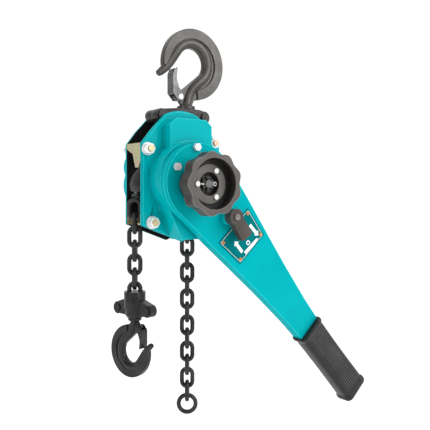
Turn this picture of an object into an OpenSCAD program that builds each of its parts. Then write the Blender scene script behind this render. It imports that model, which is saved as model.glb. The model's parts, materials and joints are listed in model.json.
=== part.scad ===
// Lever chain hoist: stamped frame, ratchet brake, two-stage gear train,
// pocket sheave with short-link chain, pull lever, handwheel and two hooks.
// X runs across the frame, Y along the drive shaft (the front is -Y), Z is up.
// The origin is the centre of the top hook's bowl.

/* [Chain] */
// Diameter of the chain wire
wire_d = 5.85; // [5.6:0.05:5.9]
// Inside length of a link
link_pitch = 18; // [17.9:0.05:18.1]
// Inside width of a link
link_inner_w = 8.55; // [8.5:0.05:8.6]
// Free links on the tail side
tail_links = 12; // [2:2:40]

/* [Frame] */
// Clear gap between the side plates
plate_gap = 36; // [36:0.5:38]
// Thickness of a side plate
plate_t = 3; // [2.5:0.5:3]
// Radius of the four stay bolts between the plates
stay_r = 4.6; // [4:0.1:4.7]

/* [Lever] */
// Direction of the lever, in degrees below level
lever_drop = 47.5; // [30:0.5:60]
// Length from the head's centre to the end of the grip
lever_len = 424; // [380:1:460]
// Length of the grip
grip_len = 142; // [120:1:150]

/* [Handwheel] */
// Radius over the handwheel's lobes
wheel_r = 39.8; // [38:0.1:42]
// Number of lobes
wheel_lobes = 9; // [6:1:12]
// Width of the handwheel's rim
wheel_w = 18; // [14:1:20]

/* [Hooks] */
// Inner radius of the top hook's bowl
bowl_r = 20; // [19:0.5:20.5]
// Size of the bottom hook against the top hook
bottom_scale = 0.7; // [0.65:0.01:0.72]

/* [Gears] */
// Tooth module of both gear stages
gear_m = 1.5; // [1.4:0.05:1.5]
// Teeth on each pinion
pinion_z = 10; // [10:2:10]
// Teeth on each large gear
wheel_z = 26; // [26:2:26]

/* [Hidden] */
$fn = 64;
// The bowl's centre, seen from the drive shaft's axis in the chain's plane
bowl_x = 40;
bowl_z = 167;

in_y = plate_gap / 2;
out_y = in_y + plate_t;
cover_t = 2;
cover_y = out_y + cover_t;
box_y = 40;
bulge_y = 48;
lever_back_y = 50;
lever_split_y = 58;
lever_front_y = 66;
case_y = 51;
cap_y = 57;
wheel_front_y = 115;
wheel_back_y = wheel_front_y - wheel_w;
disc_front_y = 102;

// Chain
link_r = (link_inner_w + wire_d) / 2;
link_play = 0.15;
link_straight = (link_pitch + link_play - link_inner_w) / 2;
face_turn = -36;
edge_turn = 54;
// Over the sheave the flat links lie deeper than the upright ones
wrap_flat_r = 32;
wrap_upright_r = 33.5;
wrap_first = 8;
pocket_r = wrap_flat_r - wire_d / 2 - 0.25;
tail_x = 34.9;
tail_z = -47.8;
load_x = -46.8;
load_z = -32;
load_count = 7;

// Frame outline, about its own centre line
plate_mid_x = 12.5;
apex_r = 60;
apex_z = 38;
stay_at = [[-41.2, 45.8], [60.4, 57], [-34.4, -48.8], [60, -49]];
bearing_r = 18;
journal_r = 13.9;
shaft_r = 6.2;
run = 0.08;

// Brake
ratchet_n = 12;
ratchet_r = 31;
ratchet_root = 26.5;
brake_r = 25.5;
pawl_r = 40;
pawl_dir = 75;
pawl_step = -90;
pawl_span = 38;
pawl_at = [for (i = [0, 1]) pol(pawl_r, pawl_dir + pawl_step * i)];

// Gears
press_a = 25;
addendum = 0.8 * gear_m;
dedendum = 1.05 * gear_m;
backlash = 0.1;
gear_c = gear_m * (pinion_z + wheel_z) / 2 + 0.05;
gear_dir = 115;
gear_at = [for (i = [0, 1]) pol(gear_c, gear_dir + 180 * i)];
case_screw_dirs = [20, 60, 170, 200, 240, 350];

// Lever
head_x = 11.3;
head_z = 2.7;
head_r = 50;
grip_s = lever_len - grip_len;
change_n = 12;
change_r = 27;
change_root = 20.5;
knob_x = 53.8;
knob_z = -41.7;
knob_dir = atan2(knob_z, knob_x);
knob_tail_dir = -55.3;
prong_len = 45.5;
prong_rest = 30;
lever_bolts_at = [[5.1, 47.1], [-24.3, 21.7], [46, 28]];
// Half of the lever's outline: [distance from the head's centre, half width]
lever_half = [[70, 42.7], [120, 36.2], [180, 28.8], [245, 22.4], [282, 20.4]];
plate_corner = [[77, 34], [77, -32], [123, -26], [123, 30]];
rivet_at = [[82, 28.5], [82, -26.5], [118, -21.5], [118, 25.5]];

// Top hook
hook_x = 33;
hook_z = 108;
yoke_y = 14.6;
top_pin_z = 79;
top_pin_r = 5.95;
yoke_boss = [[-14.5, 92], [53.7, 92.5]];
hook_pivot = [-13, 11.5];

// Bottom hook
hold_turn = -75;
bottom_z = -176.3;
end_link_z = load_z - (load_count - 1) * link_pitch;
chain_pin_z = end_link_z - link_straight - 0.1;
hold_ear_x = 26.6;
hold_ear_z = -161.7;
hold_top_z = -138.5;
hold_bottom_z = -172.5;

// ---------- helpers ----------

function pol(r, a) = [r * cos(a), r * sin(a)];
function mirror_x(points, mid) = [
    for (i = [len(points) - 1 : -1 : 0]) [2 * mid - points[i][0], points[i][1]]
];
function mirror_y(points) = [
    for (i = [len(points) - 1 : -1 : 0]) [points[i][0], -points[i][1]]
];
function arc(c, r, a0, a1, n) = [
    for (i = [0 : n]) c + pol(r, a0 + (a1 - a0) * i / n)
];

// Moves geometry drawn about the drive shaft into the part's own frame
module place() {
    translate([-bowl_x, 0, -bowl_z]) children();
}

// A flat outline, drawn in X and Z, from y0 to y1
module slab(y0, y1) {
    translate([0, y1, 0]) rotate([90, 0, 0]) linear_extrude(y1 - y0) children();
}

// A round bar along Y
module rod(r, y0, y1, at = [0, 0], fn = 64) {
    translate([at[0], y1, at[1]]) rotate([90, 0, 0])
        cylinder(r = r, h = y1 - y0, $fn = fn);
}

module ring(r_out, r_in, y0, y1, at = [0, 0]) {
    difference() {
        rod(r_out, y0, y1, at);
        rod(r_in, y0 - 1, y1 + 1, at);
    }
}

module hex(across, y0, y1, at = [0, 0]) {
    rod(across / sqrt(3), y0, y1, at, 6);
}

// ---------- chain ----------

// One link, in the XZ plane, with its length along Z
module link() {
    for (s = [-1, 1]) {
        translate([s * link_r, 0, 0])
            cylinder(d = wire_d, h = 2 * link_straight, center = true);
        translate([0, 0, s * link_straight]) rotate([90, 0, 0])
            rotate([0, 0, s > 0 ? 0 : 180])
            rotate_extrude(angle = 180) translate([link_r, 0]) circle(d = wire_d);
    }
}

// A hanging strand: every other link is turned by a quarter
module strand(x, z, count, first = 0) {
    for (i = [0 : count - 1])
        translate([x, 0, z - i * link_pitch])
            rotate([0, 0, (i + first) % 2 == 0 ? face_turn : edge_turn]) link();
}

// ---------- frame ----------

function plate_left(d) = concat(
    arc([plate_mid_x, apex_z], apex_r - d, 90, 116.5, 6),
    [[-35.4 + d, 70 - d / 2], [-49 + d, 53], [-49 + d, -52.3 + d / 2]],
    [[-29.3 + d / 2, -60 + d], [plate_mid_x, -75.5 + d]]
);

// The side plates' outline, pulled in by d
module plate_outline(d = 0) {
    left = plate_left(d);
    polygon(concat(left, mirror_x([for (i = [1 : len(left) - 2]) left[i]], plate_mid_x)));
}

module side_plate(y0, y1) {
    difference() {
        slab(y0, y1) plate_outline();
        rod(bearing_r, y0 - 1, y1 + 1);
        for (p = stay_at) rod(4, y0 - 1, y1 + 1, p);
        rod(top_pin_r, y0 - 1, y1 + 1, [hook_x, top_pin_z]);
    }
}

module side_plate_front() color([0, 0.7, 0.73]) place() difference() {
    side_plate(-out_y, -in_y);
    for (p = pawl_at) rod(3.5, -out_y - 1, -in_y + 1, p);
}

module side_plate_rear() color([0, 0.7, 0.73]) place() difference() {
    side_plate(in_y, out_y);
    for (p = gear_at) rod(5.5, in_y - 1, out_y + 1, p);
    for (a = case_screw_dirs) rod(2, in_y - 1, out_y + 1, pol(42, a));
}

module stay_bolts() color("gold") place() for (p = stay_at) {
    rod(stay_r, -in_y, in_y, p);
    rod(4, -cover_y - 11, -in_y, p);
    rod(4, in_y, out_y + 10, p);
}

module stay_nut(y0, y1, p) difference() {
    hex(13, y0, y1, p);
    rod(4, y0 - 1, y1 + 1, p);
}

module stay_nuts() color("silver") place() for (p = stay_at) {
    stay_nut(-cover_y - 8.6, -cover_y - 1.6, p);
    stay_nut(out_y + 1.6, out_y + 8.1, p);
}

module stay_washers() color("silver") place() for (p = stay_at) {
    ring(8.5, 4, -cover_y - 1.6, -cover_y, p);
    ring(8.5, 4, out_y, out_y + 1.6, p);
}

module chain_guide_upper() color([0.8, 0.7, 0.45]) place() {
    guide_y = in_y - 0.3;
    translate([-49, 0, 0]) rotate([90, 0, 90]) linear_extrude(2)
        polygon([[-guide_y, 53.6], [guide_y, 53.6], [guide_y, 47], [2, 40], [-5, 22],
            [-13, 22], [-guide_y, 30]]);
    translate([-49, -guide_y, 51.6]) cube([20, 2 * guide_y, 2]);
}

module chain_guide_lower() color([0.8, 0.7, 0.45]) place() {
    guide_y = in_y - 0.3;
    translate([-28.5, -guide_y, -55]) cube([2, 2 * guide_y, 19]);
    for (s = [-1, 1])
        difference() {
            translate([-48, s > 0 ? guide_y - 2 : -guide_y, -52]) cube([20, 2, 14]);
            rod(stay_r, -in_y, in_y, stay_at[2]);
        }
}

module chain_guard() color([0.07, 0.07, 0.07]) place() {
    guard_y = in_y - 0.4;
    translate([0, guard_y, 0]) rotate([90, 0, 0]) rotate([0, 0, 100])
        rotate_extrude(angle = 91) translate([44.8, 0]) square([2.6, 2 * guard_y]);
}

// ---------- brake cover ----------

// Upper box of the cover, pulled in by d
module cover_box(d) {
    polygon([[-17 + d, 30], [-17 + d, 78 - d], [-8, 86 - d], [39, 86 - d],
        [48 - d, 78 - d], [48 - d, 30]]);
}

// Round brake housing with its lower neck, pulled in by d
module cover_bulge(d) {
    translate([12, 8]) circle(r = 49 - d, $fn = 96);
    polygon([[-33 + d, 8], [-23 + d, -34], [-12.5 + d, -56], [-5 + d, -71 + d],
        [29 - d, -71 + d], [37 - d, -56], [47 - d, -34], [57 - d, 8]]);
}

module brake_cover() color([0, 0.72, 0.75]) place() difference() {
    union() {
        slab(-cover_y, -out_y) plate_outline(1.2);
        slab(-box_y, -out_y) cover_box(0);
        slab(-bulge_y, -out_y) cover_bulge(0);
    }
    slab(-box_y + cover_t, -out_y + 1) cover_box(cover_t);
    slab(-bulge_y + cover_t, -out_y + 1) cover_bulge(cover_t);
    rod(14.5, -bulge_y - 1, -out_y);
    for (p = stay_at) rod(4, -cover_y - 1, 0, p);
}

// ---------- gear case ----------

module case_outline(r_mid, r_end) {
    circle(r = r_mid, $fn = 96);
    for (p = gear_at) translate(p) circle(r = r_end, $fn = 96);
}

module gear_case() color([0, 0.72, 0.75]) place() difference() {
    union() {
        slab(out_y, out_y + 2) case_outline(47, 28);
        difference() {
            slab(out_y, case_y) case_outline(36, 24.4);
            slab(out_y - 1, case_y - 2) case_outline(34, 22.4);
        }
        rod(9.5, 44, case_y);
        rod(14, case_y - 1, cap_y);
        for (p = gear_at) rod(9.5, 43, case_y, p);
    }
    slab(out_y - 1, out_y + 3) case_outline(34, 22.4);
    rod(7, 43, case_y - 1);
    for (p = gear_at) rod(7, 42, case_y - 2, p);
    for (a = case_screw_dirs) rod(2.5, out_y - 1, out_y + 3, pol(42, a));
}

module case_screws() color("silver") place() for (a = case_screw_dirs) {
    rod(2, in_y + 0.4, out_y + 2, pol(42, a));
    rod(4, out_y + 2, out_y + 5, pol(42, a));
}

module sheave_bearings() color("silver") place() for (s = [-1, 1])
    ring(bearing_r, journal_r + run, s > 0 ? in_y : -out_y, s > 0 ? out_y : -in_y);

module gear_bushes() color("goldenrod") place() {
    ring(7, 4 + run, 44, case_y - 1.2);
    for (p = gear_at) {
        ring(7, 4.5 + run, 43, case_y - 2.2, p);
        ring(5.5, 4 + run, in_y, out_y, p);
    }
}

// ---------- ratchet brake ----------

function ratchet_points() = [
    for (i = [0 : ratchet_n - 1], k = [0 : 2])
        pol([ratchet_root, ratchet_r, ratchet_r][k], i * 360 / ratchet_n + [0, 27, 30][k])
];

module ratchet_disc() color("dimgray") place() difference() {
    slab(-35.2, -29.8) rotate(pawl_dir - pawl_span) polygon(ratchet_points());
    rod(12.5 + run, -40, -25);
}

// A pawl, drawn as if its tooth space were at 0 degrees
module pawl_shape() {
    translate(pol(pawl_r, pawl_span)) circle(r = 6.2);
    polygon([pol(ratchet_root + 1, 1.2), pol(ratchet_r + 1.5, 1.2), pol(36, 6),
        pol(44.5, 32), pol(36, 34), pol(33, 28)]);
}

module pawl(i) color("slategray") place() difference() {
    slab(-35, -30) rotate(pawl_dir - pawl_span + pawl_step * i) pawl_shape();
    rod(3.5 + run, -40, -20, pawl_at[i]);
}

module pawl_a() pawl(0);
module pawl_b() pawl(1);

module pawl_pins() color("silver") place() for (p = pawl_at) {
    rod(3.5, -36.6, -in_y - 0.3, p);
    rod(5, -37.8, -36.6, p);
}

module pawl_springs() color("silver") place() for (i = [0, 1]) {
    p = pawl_at[i];
    translate([p[0], -25.3, p[1]]) rotate([90, 0, 0]) rotate_extrude() {
        for (k = [0 : 2]) translate([4.8, k * 1.3]) circle(r = 0.7, $fn = 24);
        translate([4.6, 0]) square([0.4, 2.6]);
    }
    translate([p[0], -26.6, p[1]]) rotate([0, 60 - pawl_step * i, 0])
        translate([0, 0, 5]) cylinder(r = 0.6, h = 8, $fn = 24);
}

module brake_hub() color("gray") place() difference() {
    union() {
        rod(brake_r, -27, -24);
        rod(12.5, -37.6, -27);
    }
    rod(shaft_r, -40, -20);
}

module friction_discs() color("saddlebrown") place() {
    ring(brake_r, 15.2, -29.5, -27);
    ring(brake_r, 15.2, -38, -35.5);
}

module change_gear() color("gray") place() difference() {
    union() {
        rod(brake_r, -41, -38);
        rod(13, -53.5, -41);
        rod(change_root, -63.5, -53.5);
        for (i = [0 : change_n - 1])
            rotate([0, -knob_dir - (i + 0.5) * 360 / change_n, 0]) slab(-63.5, -53.5)
                polygon([[change_root - 2, -3.6], [change_r, -2], [change_r, 2],
                    [change_root - 2, 3.6]]);
        rod(11, -68, -63.5);
    }
    rod(shaft_r, -70, -30);
}

module drive_shaft() color("silver") place() difference() {
    union() {
        rod(shaft_r, -68, 34.6);
        rod(5, -101, -68);
        slab(34.6, 42) rotate(gear_dir) polygon(gear_points(pinion_z));
        rod(4, 42, 49);
    }
    translate([0, -97.7, 0]) rotate([0, 90, 0]) cylinder(r = 1.4, h = 30, center = true);
}

// ---------- handwheel ----------

// The rim's outline, with round lobes
function lobed(r, depth, n) = [
    for (i = [0 : 12 * n - 1])
        pol(r - depth * (1 - cos(i * 30)) / 2, 19 + i * 30 / n)
];

module wheel_hub() color("dimgray") place() difference() {
    rod(22, -wheel_back_y + 0.5, -68.5);
    rod(14.5, -wheel_back_y - 1, -91);
    rod(5, -100, -60);
    for (k = [0 : 2]) rod(1.6, -100, -90, pol(18.5, 60 + 120 * k));
}

module handwheel() color([0.33, 0.31, 0.3]) place() difference() {
    slab(-wheel_front_y, -wheel_back_y + 0.5) polygon(lobed(wheel_r, 3.4, wheel_lobes));
    rod(31.5, -wheel_front_y - 1, -99.5);
    rod(14.5, -wheel_front_y - 1, -90);
    for (k = [0 : 2]) rod(1.6, -100, -90, pol(18.5, 60 + 120 * k));
}

module hub_disc() color([0.36, 0.34, 0.33]) place() difference() {
    rod(24.5, -disc_front_y, -99.5);
    rod(14.5, -disc_front_y - 1, -90);
    for (k = [0 : 2]) rod(1.6, -disc_front_y - 1, -90, pol(18.5, 60 + 120 * k));
}

module hub_screws() color("silver") place() for (k = [0 : 2]) {
    p = pol(18.5, 60 + 120 * k);
    rod(3.2, -disc_front_y - 2.2, -disc_front_y, p);
    rod(1.6, -disc_front_y, -91, p);
}

module castle_nut() color("dimgray") place() difference() {
    union() {
        hex(19, -96, -91);
        rod(8.8, -99.6, -96);
    }
    rod(5, -100, -90);
    for (a = [0, 60, 120]) rotate([0, a, 0])
        translate([-12, -101, -1.6]) cube([24, 5, 3.2]);
}

module cotter_pin() color("silver") place() {
    translate([0, -97.7, 0]) rotate([0, 90, 0]) cylinder(r = 1.2, h = 20, center = true);
    translate([11, -97.7, 0]) rotate([90, 0, 0]) rotate_extrude()
        translate([2.2, 0]) circle(r = 0.8, $fn = 24);
}

// ---------- lever ----------

module lever_outline(d, tip) {
    side = concat([for (p = lever_half) [p[0], p[1] - d]], [[tip, 20.2 - d]]);
    circle(r = head_r - d, $fn = 96);
    polygon(concat([[0, head_r - d], [10, head_r - 0.9 - d]], side,
        mirror_y(side), [[10, -head_r + 0.9 + d], [0, -head_r + d]]));
}

module lever_frame() {
    translate([head_x, 0, head_z]) rotate([0, lever_drop, 0]) children();
}

module lever_bosses(r, y0, y1) {
    for (p = lever_bolts_at) rod(r, y0, y1, p);
}

module lever_rear_shell() color([0, 0.72, 0.75]) place() difference() {
    union() {
        difference() {
            lever_frame() slab(-lever_split_y, -lever_back_y) lever_outline(0, 300);
            lever_frame() slab(-lever_split_y - 1, -lever_back_y - 2) lever_outline(2, 298);
        }
        lever_bosses(4.6, -lever_split_y, -lever_back_y);
        rod(8, -55, -lever_back_y, [knob_x, knob_z]);
        rod(19, -53.2, -lever_back_y);
    }
    rod(13 + run, -60, -40);
    rod(5 + run, -60, -52, [knob_x, knob_z]);
    lever_bosses(2, -60, -51.5);
}

module lever_front_shell() color([0, 0.72, 0.75]) place() difference() {
    union() {
        difference() {
            lever_frame() slab(-lever_front_y, -lever_split_y) lever_outline(0, 300);
            lever_frame() slab(-lever_front_y + 2, -lever_split_y + 1) lever_outline(2, 298);
        }
        lever_bosses(4.6, -lever_front_y, -lever_split_y);
        rod(11, -74.6, -lever_front_y + 1, [knob_x, knob_z]);
    }
    rod(11 + run, -70, -40);
    rod(5 + run, -80, -50, [knob_x, knob_z]);
    lever_bosses(2.5, -70, -50);
}

module lever_bolts() color("silver") place() for (p = lever_bolts_at) {
    rod(2.5, -lever_front_y, -lever_split_y, p);
    rod(2, -lever_split_y, -51.6, p);
    hex(9, -lever_front_y - 4.4, -lever_front_y, p);
}

// A flat oval across the lever, from s0 to s1 along it
module grip_oval(r, half, s0, s1) {
    translate([s0, -60, 0]) rotate([0, 90, 0]) linear_extrude(s1 - s0) {
        for (s = [-1, 1]) translate([s * half, 0]) circle(r = r);
        translate([-half, -r]) square([2 * half, 2 * r]);
    }
}

module grip() color([0.1, 0.1, 0.1]) place() lever_frame() difference() {
    union() {
        grip_oval(13.6, 7.6, grip_s, lever_len);
        grip_oval(15.8, 7.8, grip_s, grip_s + 6);
        grip_oval(15.8, 7.8, lever_len - 8, lever_len);
    }
    slab(-lever_front_y, -lever_back_y)
        polygon([[grip_s - 1, -20.6], [300.2, -20.2], [300.2, 20.2], [grip_s - 1, 20.6]]);
}

module name_plate() color([0, 0.5, 0.52]) place() difference() {
    lever_frame() slab(-lever_front_y - 0.8, -lever_front_y) polygon(plate_corner);
    lever_frame() for (p = rivet_at) rod(1.2, -70, -60, p);
}

module name_plate_rivets() color("darkorange") place() lever_frame() for (p = rivet_at) {
    rod(2.2, -lever_front_y - 1.8, -lever_front_y - 0.8, p);
    rod(1.2, -lever_front_y - 0.8, -lever_front_y, p);
}

// ---------- selector ----------

module selector_shaft() color("silver") place() difference() {
    rod(5, -84, -52.2, [knob_x, knob_z]);
    rod(2, -90, -76, [knob_x, knob_z]);
}

module change_pawl() color("slategray") place() difference() {
    translate([knob_x, 0, knob_z]) rotate([0, -knob_dir - 180, 0]) slab(-62, -55.5) {
        circle(r = 9);
        for (s = [-1, 1]) {
            tip = pol(prong_len, s * prong_rest);
            translate(tip) circle(r = 2.5);
            polygon([tip + pol(2.2, s * prong_rest - 90), tip + pol(2.2, s * prong_rest + 90),
                pol(8, s * prong_rest + 70), pol(8, s * prong_rest - 70)]);
        }
    }
    rod(5, -70, -50, [knob_x, knob_z]);
}

module selector_knob() color([0.36, 0.33, 0.31]) place() difference() {
    union() {
        rod(10.5, -87, -75, [knob_x, knob_z]);
        translate([knob_x, 0, knob_z]) rotate([0, -knob_tail_dir, 0]) slab(-86, -77)
            polygon([[0, -8.5], [31, -9.6], [33, -7], [33, 7], [31, 9.6], [0, 8.5]]);
    }
    rod(5, -84, -70, [knob_x, knob_z]);
    rod(2, -90, -80, [knob_x, knob_z]);
}

module knob_screw() color("silver") place() {
    rod(4.2, -89.4, -87, [knob_x, knob_z]);
    rod(2, -87, -76.4, [knob_x, knob_z]);
}

// ---------- gear train ----------

function inv(a) = tan(a) * 180 / PI - a;
function tooth_half(z, r) =
    let (rp = gear_m * z / 2, rb = rp * cos(press_a), rr = max(r, rb))
    (90 / z) - (backlash / 2 / rp) * 180 / PI + inv(press_a) - inv(acos(rb / rr));
function tooth_radii(z) =
    let (rp = gear_m * z / 2, low = rp - dedendum, high = rp + addendum,
        start = max(low, rp * cos(press_a)))
    concat([low], [for (k = [0 : 4]) start + 0.01 + (high - start - 0.01) * k / 4]);

// Involute outline with a tooth centred on angle 0
function gear_points(z) =
    let (rs = tooth_radii(z), n = len(rs))
    [for (i = [0 : z - 1], k = [0 : 2 * n - 1])
        let (up = k < n, r = rs[up ? k : 2 * n - 1 - k], h = tooth_half(z, r))
        pol(r, i * 360 / z + (up ? -h : h))];

// Large gear and small pinion on one shaft, i = 0 or 1 for its side
module disc_gear(i) color("slategray") place() {
    dir = gear_dir + 180 * i;
    translate([gear_at[i][0], 0, gear_at[i][1]]) {
        slab(35, 41) rotate(dir + 180 + 180 / wheel_z) polygon(gear_points(wheel_z));
        slab(23, 33.6) rotate(dir + 180) polygon(gear_points(pinion_z));
        rod(5.5, 33.6, 35);
        rod(4, in_y + 0.3, 23);
        rod(4.5, 41, 48);
    }
}

module disc_gear_a() disc_gear(0);
module disc_gear_b() disc_gear(1);

module load_gear() color("slategray") place() difference() {
    slab(23.5, 32.5) rotate(gear_dir + 180 / wheel_z) polygon(gear_points(wheel_z));
    rod(12, 20, 40);
}

module snap_ring() color("silver") place() difference() {
    ring(13.2, 11.4, 32.6, 33.8);
    translate([-1.5, 30, 0]) cube([3, 6, 20]);
}

// Outline of the sheave, revolved about its axis
module sheave_profile() {
    polygon([[shaft_r + run, -in_y - 3.6], [journal_r, -in_y - 3.6],
        [journal_r, -16.4], [19, -16.4], [19, -15], [41.5, -15], [42, -12.5], [38, -10.6],
        [pocket_r, -10.6], [pocket_r, -3.8], [22.4, -3.4], [22.4, 3.4], [pocket_r, 3.8],
        [pocket_r, 10.6],
        [38, 10.6], [42, 12.5], [41.5, 15], [19, 15], [19, 16.4], [journal_r, 16.4],
        [journal_r, 21.4], [12, 21.4], [12, 32.6], [11.4, 32.6], [11.4, 33.8],
        [12, 33.8], [12, 34.3], [shaft_r + run, 34.3]]);
}

module load_sheave() color("dimgray") place() {
    rotate([-90, 0, 0]) rotate_extrude($fn = 96) sheave_profile();
    for (k = [0 : 5], s = [-1, 1]) rotate([0, -wrap_first - 30 - 60 * k, 0])
        translate([pocket_r - 1, s > 0 ? 4.2 : -10.8, -2]) cube([8, 6.6, 4]);
}

module sheave_chain() color([0.22, 0.22, 0.22]) place() for (k = [0 : 6])
    rotate([0, -wrap_first - 30 * k, 0])
        translate([k % 2 == 0 ? wrap_flat_r : wrap_upright_r, 0, 0])
        rotate([0, 0, k % 2 == 0 ? 90 : 0]) link();

// ---------- strands ----------

module load_chain_upper() color([0.22, 0.22, 0.22]) place() strand(load_x, load_z, 2);

module load_chain() color([0.22, 0.22, 0.22]) place()
    strand(load_x, load_z - 2 * link_pitch, load_count - 2);

module tail_chain_upper() color([0.22, 0.22, 0.22]) place() strand(tail_x, tail_z, 2);

module tail_chain() color([0.22, 0.22, 0.22]) place() {
    strand(tail_x, tail_z - 2 * link_pitch, tail_links);
    ring_z = tail_z - (tail_links + 1) * link_pitch - link_straight - link_r - 5.6;
    translate([tail_x, 0, ring_z]) rotate([0, 0, face_turn]) rotate([90, 0, 0])
        rotate_extrude() translate([11.6, 0]) circle(d = wire_d);
}

// ---------- top hook ----------

module yoke_outline() {
    for (p = yoke_boss) translate(p) circle(r = 8.6);
    polygon([[-14.5, 84], [18, 80], [21, 69], [45, 69], [47, 80], [53.7, 84.5],
        [53.7, 100.5], [46, hook_z - 5.3], [10, hook_z - 5.3], [-14.5, 100]]);
}

module yoke_half(y0, y1) difference() {
    slab(y0, y1) yoke_outline();
    translate([hook_x, 0, hook_z - 12.7]) cylinder(r = 8, h = 20);
    translate([hook_x, 0, hook_z - 20]) cylinder(r = 12.6, h = 7.3);
    rod(6.05, -20, 20, [hook_x, top_pin_z]);
    for (p = yoke_boss) rod(4, -20, 20, p);
}

module top_yoke_front() color([0.15, 0.15, 0.15]) place() yoke_half(-yoke_y, 0);
module top_yoke_rear() color([0.15, 0.15, 0.15]) place() yoke_half(0, yoke_y);

module yoke_bolts() color([0.25, 0.25, 0.25]) place() for (p = yoke_boss) {
    rod(4, -yoke_y, yoke_y, p);
    hex(11, -yoke_y - 2.6, -yoke_y, p);
    hex(11, yoke_y, yoke_y + 2.6, p);
}

module top_hook_pin() color("silver") place()
    rod(top_pin_r, -out_y, out_y, [hook_x, top_pin_z]);

// Flat outline of a hook, from its shank axis and the top of its collar
module hook_outline() {
    difference() {
        union() {
            translate([10.5, 58]) circle(r = 49, $fn = 128);
            polygon([[-38.4, 62], [-38.3, 57], [-47.6, 43.5], [-44.5, 36.8],
                [-24.2, 50.6], [-16.4, 63], [-20, 75]]);
        }
        translate([7, 59]) circle(r = bowl_r, $fn = 96);
        polygon([[-14, 63], [-24.2, 50.6], [-20, 24], [-8.6, 20.6], [12.2, 37],
            [24, 50], [7, 59]]);
        polygon([[-24.2, 50.6], [-44.5, 36.8], [-70, 25], [-70, -20], [-7, -20],
            [-7, 8], [-16, 17], [-8.6, 20.6]]);
    }
    polygon([[-7.5, 0], [-13, 7], [-17, 15], [-8.6, 20.6], [12.2, 37], [22, 20],
        [12, 10], [7.5, 0]]);
    translate(hook_pivot) circle(r = 6.4);
}

module hook() difference() {
    union() {
        slab(-5, 5) hook_outline();
        translate([7, 0, 59]) rotate([90, 0, 0]) rotate([0, 0, -50])
            rotate_extrude(angle = 238) translate([bowl_r + 7.6, 0]) circle(r = 7.6);
        translate([0, 0, -13.5]) cylinder(r = 7.9, h = 22);
        translate([0, 0, -5]) cylinder(r = 12.5, h = 5);
        translate([0, 0, -19.5]) cylinder(r = 12, h = 6.5);
    }
    rod(2.6, -20, 20, hook_pivot);
    for (s = [-1, 1]) rod(7, s > 0 ? 3 : -20, s > 0 ? 20 : -3, hook_pivot);
}

// Sheet latch: two cheeks, joined by a web on the outer side
module latch() difference() {
    slab(-7.4, 7.4) polygon([[-25.5, 16], [-25.5, 42], [-22.8, 49], [-18, 51],
        [-19.5, 35.5], [-15.5, 24], [-7.5, 14], [-8.4, 7], [-17, 6.5]]);
    slab(-5.9, 5.9) polygon([[-23.9, 6], [-23.9, 41.6], [-22.8, 44.6], [-17, 60], [0, 40],
        [0, 0], [-17, 0]]);
    rod(2.5 + run, -20, 20, hook_pivot);
}

// Rivet and the two spring coils beside the neck
module latch_rivet() {
    rod(2.5, -8.2, 8.2, hook_pivot);
    for (s = [-1, 1]) {
        rod(4, s > 0 ? 7.6 : -8.9, s > 0 ? 8.9 : -7.6, hook_pivot);
        translate([hook_pivot[0], s * 4.5, hook_pivot[1]]) rotate([90, 0, 0])
            rotate_extrude() {
                for (k = [-1, 1]) translate([3.7, k * 0.6]) circle(r = 0.6, $fn = 24);
                translate([3.4, -0.5]) square([0.5, 1]);
            }
    }
}

module top_frame() {
    translate([hook_x, 0, hook_z]) children();
}

module top_hook() color([0.42, 0.4, 0.38]) place() top_frame() hook();
module top_latch() color([0.45, 0.45, 0.45]) place() top_frame() latch();
module latch_rivets_top() color("white") place() top_frame() latch_rivet();

// ---------- bottom hook ----------

module bottom_frame() {
    translate([load_x, 0, bottom_z]) rotate([0, 0, hold_turn + 180])
        rotate([180, 0, 0]) scale(bottom_scale) children();
}

module holder_frame() {
    translate([load_x, 0, 0]) rotate([0, 0, hold_turn]) children();
}

module holder_body() {
    translate([0, 0, -160]) cylinder(r = 14, h = hold_top_z + 160);
    translate([0, 0, -169]) cylinder(r = 12.3, h = 9);
    translate([0, 0, hold_bottom_z]) cylinder(r1 = 10, r2 = 12.3, h = -169 - hold_bottom_z);
    slab(-5.4, 5.4) for (s = [-1, 1]) {
        translate([s * hold_ear_x, hold_ear_z]) circle(r = 8);
        polygon([[s * 8, -147], [s * 30, -154.5], [s * 31, -168.4], [s * 8, -170]]);
    }
}

module holder_half(side) place() difference() {
    intersection() {
        holder_frame() holder_body();
        holder_frame() translate([-40, side > 0 ? 0 : -40, -180]) cube([80, 40, 60]);
    }
    translate([load_x, 0, 0]) rotate([0, 0, face_turn]) {
        rod(10.7, -3.5, 3.5, [0, chain_pin_z]);
        slab(-3.5, 3.5) polygon([[-10.7, chain_pin_z], [-12.9, -130], [12.9, -130],
            [10.7, chain_pin_z]]);
        rod(4, -30, 30, [0, chain_pin_z]);
    }
    translate([load_x, 0, bottom_z + 8.6]) cylinder(r = 8.85, h = 6.4);
    translate([load_x, 0, -180]) cylinder(r = 5.6, h = 20);
    holder_frame() for (s = [-1, 1]) rod(3, -10, 10, [s * hold_ear_x, hold_ear_z]);
}

module hook_holder_a() color([0.2, 0.2, 0.2]) holder_half(-1);
module hook_holder_b() color([0.2, 0.2, 0.2]) holder_half(1);

module holder_fasteners() color([0.4, 0.4, 0.4]) place() {
    holder_frame() for (s = [-1, 1]) {
        rod(3, -5.4, 5.4, [s * hold_ear_x, hold_ear_z]);
        for (e = [-1, 1])
            rod(5, e > 0 ? 5.4 : -7.2, e > 0 ? 7.2 : -5.4, [s * hold_ear_x, hold_ear_z]);
    }
    translate([load_x, 0, 0]) rotate([0, 0, face_turn]) rod(4, -12.6, 12.6, [0, chain_pin_z]);
}

module bottom_hook() color([0.22, 0.22, 0.22]) place() bottom_frame() {
    hook();
    latch_rivet();
}
module bottom_latch() color([0.25, 0.25, 0.25]) place() bottom_frame() latch();

// ---------- nodes ----------

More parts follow.
